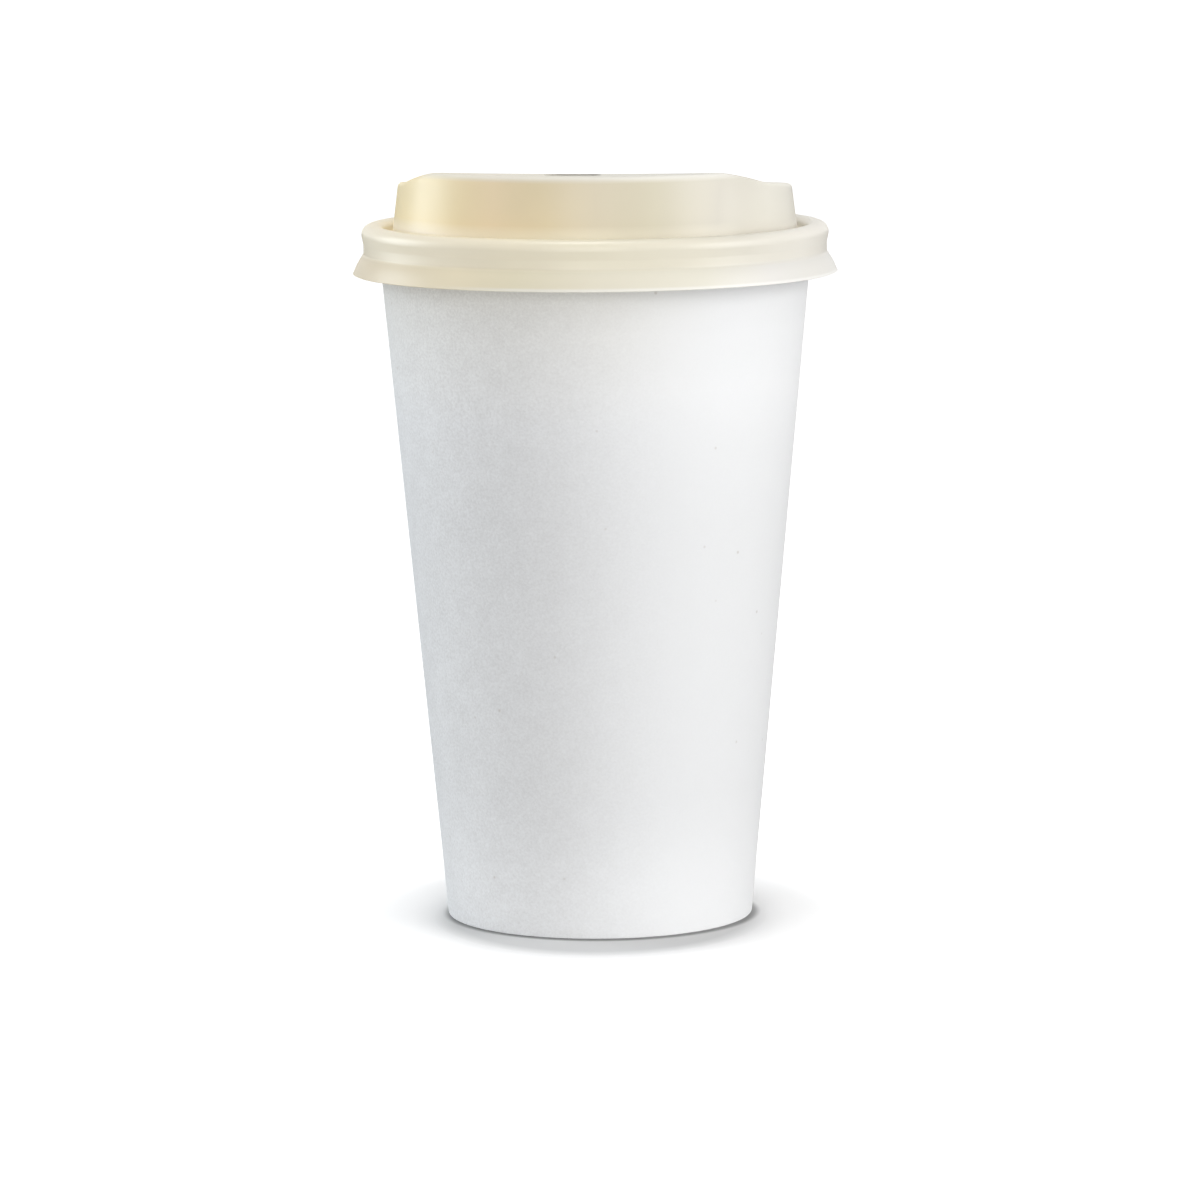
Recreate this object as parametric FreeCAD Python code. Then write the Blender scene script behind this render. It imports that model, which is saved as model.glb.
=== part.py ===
import FreeCAD, Part
import math
import os

from FreeCAD import Vector

os.makedirs("parts", exist_ok=True)

# Paper coffee cup with a thermoformed travel lid, in millimetres.
# The frame stands at the centre of the base, on the surface that the cup rests on, with +Z up.
# The lid's sipping side faces -Y, turned a little towards -X.
# Every sheet is drawn by one face, as (radius, height, corner radius) points, and given its
# thickness to the left of the way that the outline runs.

# Sidewall: one sheet of coated board, printed face outwards
base_radius = 30.0
rim_radius = 44.7
cup_height = 135.9
wall_thickness = 0.4

# Rolled rim of the sidewall
roll_radius = 1.3
roll_end_gap = 0.1

# Folded-in hem at the foot of the sidewall
fold_radius = 0.45
hem_below_disc = 2.2

# Lapped and glued side seam, at the back of the cup
seam_bearing = 62.0
seam_overlap = 7.0
seam_foot_gap = 0.3
seam_roll_gap = 0.3
seam_bite = 0.03

# Bottom disc with its turned-down skirt
bottom_thickness = 0.35
bottom_height = 9.0
bottom_corner = 0.8
bottom_skirt_gap = 0.1
seal_gap = 0.02

# Lid rim: flared skirt, snap groove, bead over the rolled rim, and plug inside it
lid_thickness = 0.4
seat_gap = 0.05
groove_gap = 0.1
bead_bulge = 0.35
bead_drop = 2.2
bead_run_in = 1.6
bead_corner = 1.5
crest_outer_corner = 1.8
crest_inner_corner = 1.4
skirt_height = 3.9
skirt_flare = 2.1
skirt_top_drop = 5.6
skirt_corner = 0.6
plug_gap = 0.3

# Lid dome: moat between the bead and the wall, then the wall itself
moat_depth = 3.0
moat_width = 1.6
moat_corner = 0.6
dome_draft_deg = 7.0
dome_rise = 11.4
dome_edge_radius = 1.0

# Lid top: crescent-shaped sipping platform at the front, a ramp behind it, and a ring that slopes to
# the back. The platform's back edge, the ramp and the deck's front wall curve about one far axis.
sip_bearing = 262.5
platform_depth = 10.1
crescent_radius = 114.0
ramp_run = 7.9
ramp_drop = 2.5
ring_slope_deg = 5.2
bend_radius = 8.0

# Recessed deck inside the ring
ring_width = 3.8
deck_setback = 2.0
deck_back_depth = 3.0
deck_draft_deg = 8.0
deck_corner = 7.0
deck_mouth_radius = 0.7
deck_floor_radius = 0.9

# Holes in the lid
sip_length = 11.0
sip_width = 4.5
sip_setback = 6.0
vent_diameter = 1.2
vent_offset = 20.0

# Reach of the cutting tools past what they cut, and how near counts as touching
past = 3.0
touching = 0.001


def left_of(way):
    return Vector(-way.z, 0, way.x)


def way_between(start, end):
    return Vector(end[0] - start[0], 0, end[1] - start[1]).normalize()


def inset(points, depth):
    """The outline's face at this depth in the sheet, with its corners grown or shrunk to match."""
    moved = []
    last = len(points) - 1
    for i, (r, z, corner) in enumerate(points):
        before = way_between(points[max(i, 1) - 1], points[max(i, 1)])
        after = way_between(points[min(i, last - 1)], points[min(i, last - 1) + 1])
        side = left_of(before) + left_of(after)
        side.multiply(depth / (1 + before.dot(after)))
        turns_left = left_of(before).dot(after) > 0
        grown = corner - depth if turns_left else corner + depth
        moved.append((r + side.x, z + side.z, grown if corner else 0))
    return moved


def outline_edges(points):
    """Straight runs through the points, joined by tangent arcs of each point's corner radius."""
    edges = []
    start = Vector(points[0][0], 0, points[0][1])
    for i in range(1, len(points) - 1):
        r, z, corner = points[i]
        here = Vector(r, 0, z)
        before = way_between(points[i - 1], points[i])
        after = way_between(points[i], points[i + 1])
        if corner:
            half_turn = before.getAngle(after) / 2
            reach = corner * math.tan(half_turn)
            to_centre = (after - before).normalize()
            arc_start = here - before * reach
            arc_end = here + after * reach
            arc_middle = here + to_centre * (corner / math.cos(half_turn) - corner)
            edges.append(Part.LineSegment(start, arc_start).toShape())
            edges.append(Part.Arc(arc_start, arc_middle, arc_end).toShape())
            start = arc_end
        else:
            edges.append(Part.LineSegment(start, here).toShape())
            start = here
    edges.append(Part.LineSegment(start, Vector(points[-1][0], 0, points[-1][1])).toShape())
    return edges


def spun(edges, degrees=360):
    """The closed outline turned about the cup's axis."""
    face = Part.Face(Part.Wire(Part.__sortEdges__(edges)))
    return face.revolve(Vector(0, 0, 0), Vector(0, 0, 1), degrees)


def line(start, end):
    return Part.LineSegment(start, end).toShape()


# Sidewall geometry that the other pieces fit to
printed_roll = roll_radius - wall_thickness
roll_centre = Vector(rim_radius - roll_radius, 0, cup_height - roll_radius)
foot = Vector(base_radius, 0, 0)
to_roll = roll_centre - foot
wall_angle = math.atan2(to_roll.x, to_roll.z) - math.asin(printed_roll / to_roll.Length)
wall_way = Vector(math.sin(wall_angle), 0, math.cos(wall_angle))
wall_side = left_of(wall_way)


def wall_radius(z, depth=0.0):
    """Radius at height z of the cone that lies this deep under the printed face."""
    return base_radius + z * math.tan(wall_angle) - depth / math.cos(wall_angle)


def sidewall_face(depth):
    """Edges of the sheet's face at this depth: hem, base fold, cone and rolled rim."""
    hem_depth = 2 * wall_thickness + bottom_thickness + 2 * seal_gap
    hem_top = bottom_height - bottom_thickness - hem_below_disc
    roll_start = roll_centre + wall_side * printed_roll
    points = [
        (wall_radius(hem_top, hem_depth), hem_top, 0),
        (wall_radius(0, hem_depth), 0, fold_radius),
        (base_radius, 0, fold_radius),
        (roll_start.x, roll_start.z, 0),
    ]
    roll = printed_roll + depth
    end_angle = math.acos((printed_roll - roll_end_gap) / roll_radius) - math.pi - wall_angle
    start_angle = math.pi - wall_angle
    middle_angle = (start_angle + end_angle) / 2
    on_roll = [
        roll_centre + Vector(math.cos(a), 0, math.sin(a)) * roll
        for a in (start_angle, middle_angle, end_angle)
    ]
    return outline_edges(inset(points, depth)) + [Part.Arc(*on_roll).toShape()]


def sheet_edges(inner, outer):
    """Both faces of a sheet, closed by its two cut edges."""
    cut_start = line(inner[0].valueAt(inner[0].FirstParameter), outer[0].valueAt(outer[0].FirstParameter))
    cut_end = line(inner[-1].valueAt(inner[-1].LastParameter), outer[-1].valueAt(outer[-1].LastParameter))
    return inner + outer + [cut_start, cut_end]


def cone_band(deep, shallow, low, high, degrees):
    """A sector of the cone between two depths and two heights, starting at the seam's bearing."""
    corners = [
        Vector(wall_radius(low, deep), 0, low),
        Vector(wall_radius(low, shallow), 0, low),
        Vector(wall_radius(high, shallow), 0, high),
        Vector(wall_radius(high, deep), 0, high),
        Vector(wall_radius(low, deep), 0, low),
    ]
    return Part.Face(Part.makePolygon(corners)).revolve(Vector(0, 0, 0), Vector(0, 0, 1), degrees)


def beyond_tangent(depth):
    """The space outside the flat that leaves the cone, this deep in the sheet, where the ramp starts."""
    size = 2 * (cup_height + rim_radius)
    block = Part.makeBox(size, size, size, Vector(0, -size / 2, -size / 2))
    block.rotate(Vector(0, 0, 0), Vector(0, 1, 0), math.degrees(wall_angle))
    block.translate(foot + wall_side * (depth + seam_bite))
    return block


def ramp_degrees():
    """Turn from where the flat leaves the cone to where it stands one sheet clear, at the foot."""
    foot_radius = wall_radius(0)
    return math.degrees(math.acos(foot_radius / (foot_radius + wall_thickness)))


def seam_lap(low, high):
    """The outer lap: a flat ramp off the cone, then one sheet over the inner lap to the raw edge."""
    overlap_degrees = math.degrees(seam_overlap / base_radius)
    band = cone_band(wall_thickness / 2, -wall_thickness, low, high, ramp_degrees() + overlap_degrees)
    ramp_zone = cone_band(wall_thickness, -2 * wall_thickness, low - past, high + past, ramp_degrees())
    return band.cut(ramp_zone.common(beyond_tangent(0)))


def seam_step():
    """The hollow inside, under the ramp, where the inner lap's raw edge shows as a step."""
    low = bottom_height + bottom_corner
    high = cup_height - 2 * roll_radius - seam_roll_gap
    zone = cone_band(wall_thickness + past, -wall_thickness, low, high, ramp_degrees())
    return zone.cut(beyond_tangent(wall_thickness))


def make_cup_wall():
    section = sheet_edges(sidewall_face(0), sidewall_face(wall_thickness))
    wall = spun(section)
    lap_low = fold_radius + seam_foot_gap
    lap_high = cup_height - 2 * roll_radius - seam_roll_gap
    wall = wall.fuse(seam_lap(lap_low, lap_high)).cut(seam_step())
    wall.rotate(Vector(0, 0, 0), Vector(0, 0, 1), seam_bearing)
    return wall


def make_cup_bottom():
    skirt_foot = wall_thickness + bottom_skirt_gap
    depth = wall_thickness + seal_gap
    points = [
        (wall_radius(skirt_foot, depth), skirt_foot, 0),
        (wall_radius(bottom_height, depth), bottom_height, bottom_corner),
        (0, bottom_height, 0),
    ]
    return spun(sheet_edges(outline_edges(points), outline_edges(inset(points, bottom_thickness))))


# Lid levels and radii, taken from the rim that it snaps over
crest_z = cup_height + seat_gap + lid_thickness
moat_z = crest_z - moat_depth
platform_z = crest_z + dome_rise
skirt_top_z = crest_z - skirt_top_drop
skirt_z = skirt_top_z - skirt_height
groove_radius = rim_radius + groove_gap + lid_thickness
bead_z = crest_z - bead_drop
bead_radius = groove_radius + bead_bulge
plug_depth = wall_thickness + plug_gap + lid_thickness
dome_foot_radius = wall_radius(moat_z, plug_depth) - moat_width


def dome_radius(z):
    """Radius of the dome wall's outer face at height z."""
    return dome_foot_radius - (z - moat_z) * math.tan(math.radians(dome_draft_deg))


platform_edge = dome_radius(platform_z)
platform_back = platform_edge - platform_depth
ramp_foot = platform_back - ramp_run
far_axis = Vector(platform_back - crescent_radius, 0, 0)
ring_fall = math.tan(math.radians(ring_slope_deg))


def lid_body(depth):
    """The solid under the sheet's face at this depth, before its top is cut."""
    trim = skirt_flare / skirt_height
    points = [
        (groove_radius + skirt_flare + past * trim, skirt_z - past, 0),
        (groove_radius, skirt_top_z, skirt_corner),
        (groove_radius, bead_z - bead_run_in, bead_corner),
        (bead_radius, bead_z, bead_corner),
        (bead_radius, crest_z, crest_outer_corner),
        (wall_radius(crest_z, plug_depth), crest_z, crest_inner_corner),
        (wall_radius(moat_z, plug_depth), moat_z, moat_corner),
        (dome_foot_radius, moat_z, moat_corner),
        (dome_radius(platform_z + past), platform_z + past, 0),
    ]
    edges = outline_edges(inset(points, depth))
    first = edges[0].valueAt(edges[0].FirstParameter)
    last = edges[-1].valueAt(edges[-1].LastParameter)
    edges.append(line(last, Vector(0, 0, last.z)))
    edges.append(line(Vector(0, 0, last.z), Vector(0, 0, first.z)))
    edges.append(line(Vector(0, 0, first.z), first))
    return spun(edges)


def above_top(depth):
    """The space over the lid's top at this depth: platform, ramp and sloping ring, about the far axis."""
    reach = rim_radius + skirt_flare + past
    ring_z = platform_z - ramp_drop
    points = [
        (reach, platform_z, 0),
        (platform_back, platform_z, bend_radius),
        (ramp_foot, ring_z, bend_radius),
        (-reach, ring_z - (ramp_foot + reach) * ring_fall, 0),
    ]
    edges = outline_edges(inset(points, depth))
    ends = [edges[0].valueAt(edges[0].FirstParameter), edges[-1].valueAt(edges[-1].LastParameter)]
    over = [Vector(end.x, 0, platform_z + 2 * past) for end in ends]
    edges += [line(ends[0], over[0]), line(over[0], over[1]), line(over[1], ends[1])]
    face = Part.Face(Part.Wire(Part.__sortEdges__(edges)))
    face.rotate(far_axis, Vector(0, 0, 1), 180)
    return face.revolve(far_axis, Vector(0, 0, 1), 360)


def deck_outline(grow, z):
    """Plan of the deck at height z: a disc cut by the arc behind the platform, with round corners."""
    radius = platform_edge - ring_width - deck_corner
    front_radius = crescent_radius - deck_setback - deck_corner
    meet_x = (radius ** 2 + far_axis.x ** 2 - front_radius ** 2) / (2 * far_axis.x)
    meet_y = math.sqrt(radius ** 2 - meet_x ** 2)
    ends = [Vector(meet_x, meet_y, z), Vector(meet_x, -meet_y, z)]
    disc = Part.Arc(ends[0], Vector(-radius, 0, z), ends[1]).toShape()
    front = Part.Arc(ends[1], Vector(far_axis.x + front_radius, 0, z), ends[0]).toShape()
    return Part.Wire([disc, front]).makeOffset2D(deck_corner + grow, 0, False, False, False)


def deck_floor_z():
    ring_back = platform_edge - ring_width
    ring_z = platform_z - ramp_drop - (ramp_foot + ring_back) * ring_fall
    return ring_z - deck_back_depth


def deck_pocket(depth):
    """The hollow over the deck, as the sheet's face at this depth bounds it."""
    draft = math.tan(math.radians(deck_draft_deg))
    floor_z = deck_floor_z() - depth
    top_z = platform_z + past
    side = depth / math.cos(math.radians(deck_draft_deg))
    low = deck_outline(side - (platform_z - floor_z) * draft, floor_z)
    high = deck_outline(side + past * draft, top_z)
    pocket = Part.makeLoft([low, high], True, True)
    floor_edges = [edge for edge in pocket.Edges if edge.BoundBox.ZMax < floor_z + past / 10]
    return pocket.makeFillet(deck_floor_radius + depth, floor_edges)


def radius_at(point):
    return math.hypot(point.x, point.y)


def edge_middle(edge):
    return edge.valueAt((edge.FirstParameter + edge.LastParameter) / 2)


def rounded_dome(depth):
    """The lid's body cut to its top, with the dome's upper edge rounded."""
    body = lid_body(depth).cut(above_top(depth))
    over_crest = crest_z + dome_edge_radius
    upper = [
        edge for edge in body.Edges
        if edge.BoundBox.ZMin > over_crest and radius_at(edge_middle(edge)) > platform_edge - dome_edge_radius
    ]
    return body.makeFillet(dome_edge_radius - depth, upper)


def lid_solid(depth):
    """Everything under the sheet's face at this depth, with the deck sunk in."""
    pocket = deck_pocket(depth)
    body = rounded_dome(depth).cut(pocket)
    floor_z = deck_floor_z() + deck_floor_radius
    mouth = [
        edge for edge in body.Edges
        if edge.BoundBox.ZMin > floor_z and pocket.distToShape(Part.Vertex(edge_middle(edge)))[0] < touching
    ]
    return body.makeFillet(deck_mouth_radius - depth / 2, mouth)


def sip_hole():
    """A slot with round ends, along the front edge of the platform."""
    centre_x = platform_edge - sip_setback
    straight = sip_length - sip_width
    low = platform_z - past
    slot = Part.makeBox(sip_width, straight, 2 * past, Vector(centre_x - sip_width / 2, -straight / 2, low))
    for end_y in (-straight / 2, straight / 2):
        slot = slot.fuse(Part.makeCylinder(sip_width / 2, 2 * past, Vector(centre_x, end_y, low)))
    return slot


def vent_hole():
    low = deck_floor_z() - past
    return Part.makeCylinder(vent_diameter / 2, 2 * past, Vector(-vent_offset, 0, low))


def make_lid():
    sheet = lid_solid(0).cut(lid_solid(lid_thickness))
    reach = 2 * rim_radius
    trim = Part.makeBox(2 * reach, 2 * reach, 2 * past, Vector(-reach, -reach, skirt_z - 2 * past))
    sheet = sheet.cut(trim).cut(sip_hole()).cut(vent_hole())
    sheet.rotate(Vector(0, 0, 0), Vector(0, 0, 1), sip_bearing)
    return sheet


def export(name, shape):
    solids = shape.Solids
    piece = solids[0] if len(solids) == 1 else shape
    print(name, "solids", len(solids), "valid", piece.isValid(), "volume", round(piece.Volume, 2))
    piece.exportStep("parts/" + name + ".step")


export("cup_wall", make_cup_wall())
export("cup_bottom", make_cup_bottom())
export("lid", make_lid())
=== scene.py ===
import math

import bmesh
import bpy
import numpy as np
from mathutils import Matrix, Vector


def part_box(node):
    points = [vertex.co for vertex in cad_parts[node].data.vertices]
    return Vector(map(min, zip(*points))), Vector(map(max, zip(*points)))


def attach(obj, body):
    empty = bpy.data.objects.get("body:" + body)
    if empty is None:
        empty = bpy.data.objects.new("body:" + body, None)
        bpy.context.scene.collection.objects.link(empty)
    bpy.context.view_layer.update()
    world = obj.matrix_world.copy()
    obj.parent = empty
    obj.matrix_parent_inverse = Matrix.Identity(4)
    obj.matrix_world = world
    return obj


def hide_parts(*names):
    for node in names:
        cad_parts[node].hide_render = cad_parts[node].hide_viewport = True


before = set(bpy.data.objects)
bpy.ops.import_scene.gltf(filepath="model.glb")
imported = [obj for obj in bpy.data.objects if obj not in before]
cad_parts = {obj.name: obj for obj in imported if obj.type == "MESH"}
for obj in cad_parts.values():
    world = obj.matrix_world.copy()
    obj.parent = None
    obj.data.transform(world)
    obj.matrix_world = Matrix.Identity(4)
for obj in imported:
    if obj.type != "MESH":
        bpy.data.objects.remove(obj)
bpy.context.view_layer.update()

# A white paper cup with a cream travel lid. Its sizes are in millimetres, and the points of a section
# are (radius, height) pairs. Meshes, places in the materials and the studio are in metres.
MM = 0.001

# Levels and radii that the frame gives
wall_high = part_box("cup_wall")[1]
disc_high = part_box("cup_bottom")[1]
lid_low, lid_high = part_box("lid")
CUP_HEIGHT = wall_high.z / MM
DISC_TOP = disc_high.z / MM
PLATFORM_Z = lid_high.z / MM
SKIRT_Z = lid_low.z / MM
SKIRT_RADIUS = min(lid_high.x, lid_high.y) / MM

# Sidewall: board, base fold, rolled rim and side seam
BASE_RADIUS = 30.0
RIM_RADIUS = 44.68
WALL_THICKNESS = 0.4
ROLL_RADIUS = 1.3
ROLL_END_GAP = 0.1
FOLD_RADIUS = 0.45
SEAM_BEARING = math.radians(71.3)
SEAM_OVERLAP = 7.0
OUTER_RAMP = 5.0
INNER_RAMP = 2.5
PRESS_START = 0.5
PRESS_REACH = 4.0
GLUE_GAP = 0.01

# Bottom disc
DISC_THICKNESS = 0.35
DISC_CORNER = 0.8
DISC_DISH = 0.3
SKIRT_FOOT = 0.5
SEAL_GAP = 0.02
HEM_BELOW_DISC = 2.2

# Lid: skirt, groove, bead, crest, moat and dome wall
LID_THICKNESS = 0.4
SEAT_GAP = 0.05
GROOVE_GAP = 0.12
BEAD_BULGE = 0.35
BEAD_DROP = 2.2
BEAD_RUN_IN = 1.6
SKIRT_TOP_DROP = 5.6
SKIRT_CROWN = 0.14
PLUG_GAP = 0.3
MOAT_DEPTH = 3.0
MOAT_WIDTH = 1.6
DOME_DRAFT = math.tan(math.radians(7.0))
DOME_START = 1.0
SKIRT_SWEEP = 12.0
TIGHT_BEND = 0.6
BEAD_BEND = 1.5
CREST_OUTER_BEND = 1.8
CREST_INNER_BEND = 1.4

# Lid: platform, ramp and ring of the top, the deck sunk in it, and the two holes
SIP_BEARING = math.radians(262.5)
PLATFORM_DEPTH = 10.1
CRESCENT_RADIUS = 114.0
RAMP_RUN = 7.9
RAMP_DROP = 2.5
RING_FALL = math.tan(math.radians(5.2))
BEND_REACH = 1.0
RING_WIDTH = 3.8
EDGE_BEND = 1.0
EDGE_RUN = 1.6
DECK_SETBACK = 2.0
DECK_CORNER = 7.0
DECK_BACK_DEPTH = 3.0
DECK_DRAFT = math.tan(math.radians(8.0))
MOUTH_BEND = 0.7
MOUTH_RUN = 1.2
DECK_FOOT_BEND = 0.9
SIP_LENGTH = 11.0
SIP_WIDTH = 4.5
SIP_SETBACK = 6.0
VENT_RADIUS = 0.6
VENT_OFFSET = 20.0

# Mesh densities: rows lie along a section, and turns are the stations around the axis
CORNER_STEPS = 6
FOLD_STEPS = 5
CONE_ROWS = 24
ROLL_ROWS = 26
WALL_TURNS = 360
INNER_LAP = 0.06
INNER_LAP_TURNS = 41
OUTER_LAP = 0.93
OUTER_LAP_TURNS = 49
DISC_ROWS = 16
DISC_TURNS = 192
LID_TURNS = 330
EDGE_STEPS = 8
DOME_ROWS = 10
BAND_ROWS = 24
DECK_WALL_ROWS = 6
DECK_START = 0.97
VENT_START = 0.67
VENT_END = 0.575
DECK_ROWS = 9
VENT_ROWS = 15
FLAT_ROWS = 2 * DECK_ROWS + VENT_ROWS - 1

# Small steps of the working: a sideways hair, rounds until two values agree, and slope steps
HAIR = 1e-12
SETTLING_ROUNDS = 12
BEARING_STEP = 1e-3
PLAN_STEP = 1e-4
DOUBLES_REACH = 1e-7
SHARP_ANGLE = math.radians(38.0)

# Material slots of the board pieces
PRINTED, COATED, RAW_EDGE = range(3)

# Board: how mottling and grain share its colour, where they show most, where the lid's warm bounce is
# painted, its specks
MOTTLE_SHARE = 0.2
GRAIN_SHARE = 0.8
CONTRAST_X = (-0.03, 0.015)
CONTRAST = (3.8, 0.3)
LID_BOUNCE_Z = (0.100, 0.125)
LID_BOUNCE_X = (0.002, 0.024)
LID_BOUNCE_TINT = (1.0, 0.985, 0.945)
SPECK_EDGE = (0.02, 0.055)
SPECK_STRENGTH = 0.35
SPECK_TINT = (0.42, 0.36, 0.30)

# Board: painted light and shade over its height, lighter at the foot and darker in the lid's shadow,
# as shares of the height on the next line from the floor
PAINTED_SHADE_HEIGHT = 0.130
BOARD_PAINTED_LIGHT_AND_SHADE = (
    (0.03, 1.0),
    (0.08, 0.98),
    (0.15, 0.93),
    (0.21, 0.905),
    (0.62, 0.905),
    (0.73, 0.93),
    (0.82, 0.97),
    (0.90, 0.945),
    (0.955, 0.885),
)

# Lid tints with painted light from left to right, lit and warm on the left and shaded grey on the right:
# the dome and top, the bead and groove under them, and the skirt, the rim painted paler for light from above
DOME_TINT_AND_PAINTED_LIGHT = (
    (0.07, (0.96, 0.81, 0.47)),
    (0.20, (0.90, 0.755, 0.455)),
    (0.29, (0.93, 0.77, 0.52)),
    (0.38, (0.83, 0.71, 0.475)),
    (0.50, (0.71, 0.63, 0.465)),
    (0.62, (0.71, 0.66, 0.515)),
    (0.75, (0.635, 0.60, 0.515)),
    (0.86, (0.80, 0.77, 0.68)),
)
BEAD_TINT_AND_PAINTED_LIGHT = (
    (0.05, (0.95, 0.865, 0.68)),
    (0.20, (0.97, 0.885, 0.70)),
    (0.32, (0.96, 0.88, 0.685)),
    (0.50, (0.87, 0.81, 0.64)),
    (0.68, (0.79, 0.745, 0.62)),
    (0.80, (0.75, 0.715, 0.62)),
    (0.93, (0.835, 0.80, 0.72)),
)
SKIRT_TINT_AND_PAINTED_LIGHT = (
    (0.05, (0.72, 0.62, 0.44)),
    (0.22, (0.88, 0.785, 0.575)),
    (0.33, (0.82, 0.755, 0.565)),
    (0.50, (0.80, 0.75, 0.61)),
    (0.70, (0.77, 0.74, 0.635)),
    (0.85, (0.78, 0.76, 0.72)),
    (0.95, (0.78, 0.76, 0.71)),
)

# Lid: the run of its tints and painted light, where one set gives way to the next, its top painted paler
# for the light, the painted highlight on its skirt's edge, its gloss
TINT_AND_LIGHT_X = (-0.047, 0.047)
BLOTCH_SPREAD = 0.10
SKIRT_TO_BEAD_Z = (0.1302, 0.1312)
BEAD_TO_DOME_Z = (0.1362, 0.1385)
TOP_Z = (0.1464, 0.1474)
TOP_LIGHT_SHARE = 0.7
TOP_LIGHT_TINT = (0.92, 0.905, 0.85)
EDGE_HIGHLIGHT_Z = (0.12750, 0.12715)
EDGE_HIGHLIGHT_X = (-0.032, -0.016)
EDGE_HIGHLIGHT_SHARE = 0.5
EDGE_HIGHLIGHT_TINT = (0.97, 0.96, 0.93)
HAZE = (0.3, 0.7)
LID_ROUGHNESS = (0.33, 0.36)
TOP_DULLNESS = 0.42

# How far the surface relief stands out
BUMP_DISTANCE = 0.00005

# Floor: the ellipse of its shadow and the glow that ends it, its lightness, and the painted contact shadow
# round the foot
FLOOR_HALF = 9.0
SHADOW_FORWARD = 0.0055
SHADOW_SCALE = (10.0, 8.0, 0.0)
FLOOR_GLOW = (
    (0.29, 0.0),
    (0.315, 0.15),
    (0.335, 0.29),
    (0.37, 0.41),
    (0.44, 0.52),
    (0.60, 1.0),
)
FLOOR_LEVEL = 0.76
CONTACT_SHADOW_PLACE = (0.0003, -0.0009, 0.0)
CONTACT_SHADOW_RADIUS = 0.0299
CONTACT_SHADOW_FADE = 0.0018
CONTACT_SHADOW_LEVEL = 0.32
BOUNCE_REACH = (0.05, 0.09)
BOUNCE_LEVEL = 0.84

# Lamps and camera
LAMP_TARGET = Vector((0.0, 0.0, 0.08))
LAMP_DISTANCE = 0.9
CAMERA_PLACE = (0.0, -1.1708, 0.2242)
CAMERA_PITCH = math.radians(7.887)
CAMERA_YAW = math.radians(0.020)
CAMERA_ROLL = math.radians(-0.449)
SENSOR_WIDTH = 36.0
FOCAL_LENGTH = 180.3


# Lines and grids

def smooth_step(share):
    """Zero below 0, one above 1, and 3s^2 - 2s^3 between."""
    share = np.clip(share, 0.0, 1.0)
    return share * share * (3.0 - 2.0 * share)


def unit(vectors):
    """Each vector divided by its length."""
    return vectors / np.linalg.norm(vectors, axis=-1, keepdims=True)


def left_of(ways):
    """Each plane vector turned left by a quarter turn."""
    return np.stack([-ways[..., 1], ways[..., 0]], axis=-1)


def rounded_line(points, corners, steps=CORNER_STEPS):
    """Points along a broken line whose corners are arcs.

    points is (count, ..., 2), corners a radius per point. At a corner the line turns by angle a from
    way d to way e, so the arc starts radius * tan(a / 2) before it and point t of it is
    start + radius * (sin(t a) d + (1 - cos(t a)) n), with n square to d on the side of e.
    """
    points = np.asarray(points, dtype=float)
    out = [points[0]]
    for i in range(1, len(points) - 1):
        before = unit(points[i] - points[i - 1])
        after = unit(points[i + 1] - points[i])
        cosine = np.clip(np.sum(before * after, axis=-1, keepdims=True), -1.0, 1.0)
        turn = np.arccos(cosine)
        side = unit(after - cosine * before + HAIR * left_of(before))
        start = points[i] - before * corners[i] * np.tan(turn / 2)
        for share in np.linspace(0.0, 1.0, steps + 1):
            arc = np.sin(share * turn) * before + (1 - np.cos(share * turn)) * side
            out.append(start + corners[i] * arc)
    out.append(points[-1])
    return np.stack(out)


def divided(line, start, count):
    """The line with its run from point start to the next one divided into count equal parts."""
    shares = np.linspace(0.0, 1.0, count + 1)[1:-1].reshape(-1, *([1] * (line.ndim - 1)))
    extra = line[start] + (line[start + 1] - line[start]) * shares
    return np.concatenate([line[:start + 1], extra, line[start + 1:]])


def inset(points, corners, depth):
    """The same broken line moved to its left by depth, and its corner radii changed to match."""
    points = np.asarray(points, dtype=float)
    corners = np.array(corners)
    ways = unit(np.diff(points, axis=0))
    before = np.concatenate([ways[:1], ways])
    after = np.concatenate([ways, ways[-1:]])
    side = left_of(before) + left_of(after)
    moved = points + side * depth / (1 + np.sum(before * after, axis=-1, keepdims=True))
    turns_left = np.sum(left_of(before) * after, axis=-1) > 0
    radii = np.where(turns_left, corners - depth, corners + depth)
    return moved, np.where(corners == 0, 0.0, radii)


def turned(radius, height, bearing):
    """Points at a radius, a height and a bearing about the axis."""
    x, y = radius * np.cos(bearing), radius * np.sin(bearing)
    return np.stack(np.broadcast_arrays(x, y, height), axis=-1)


def grid_quads(rows, columns, close_rows=False, close_columns=False):
    """Quads of a grid numbered row by row, joined end to end where it closes."""
    i = np.arange(rows if close_rows else rows - 1)
    j = np.arange(columns if close_columns else columns - 1)
    i, j = np.meshgrid(i, j, indexing="ij")
    i2, j2 = (i + 1) % rows, (j + 1) % columns
    quads = np.stack([i * columns + j, i * columns + j2, i2 * columns + j2, i2 * columns + j], axis=-1)
    return quads.reshape(-1, 4)


def bridge(first, second, offset):
    """Quads from edges of the upper face to the same edges of the lower one, offset points further on."""
    return np.stack([first, second, second + offset, first + offset], axis=-1)


def merge_doubles(mesh):
    """Joins points that coincide and turns all faces outwards."""
    work = bmesh.new()
    work.from_mesh(mesh)
    bmesh.ops.remove_doubles(work, verts=work.verts, dist=DOUBLES_REACH)
    bmesh.ops.recalc_face_normals(work, faces=work.faces)
    work.to_mesh(mesh)
    work.free()


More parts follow.
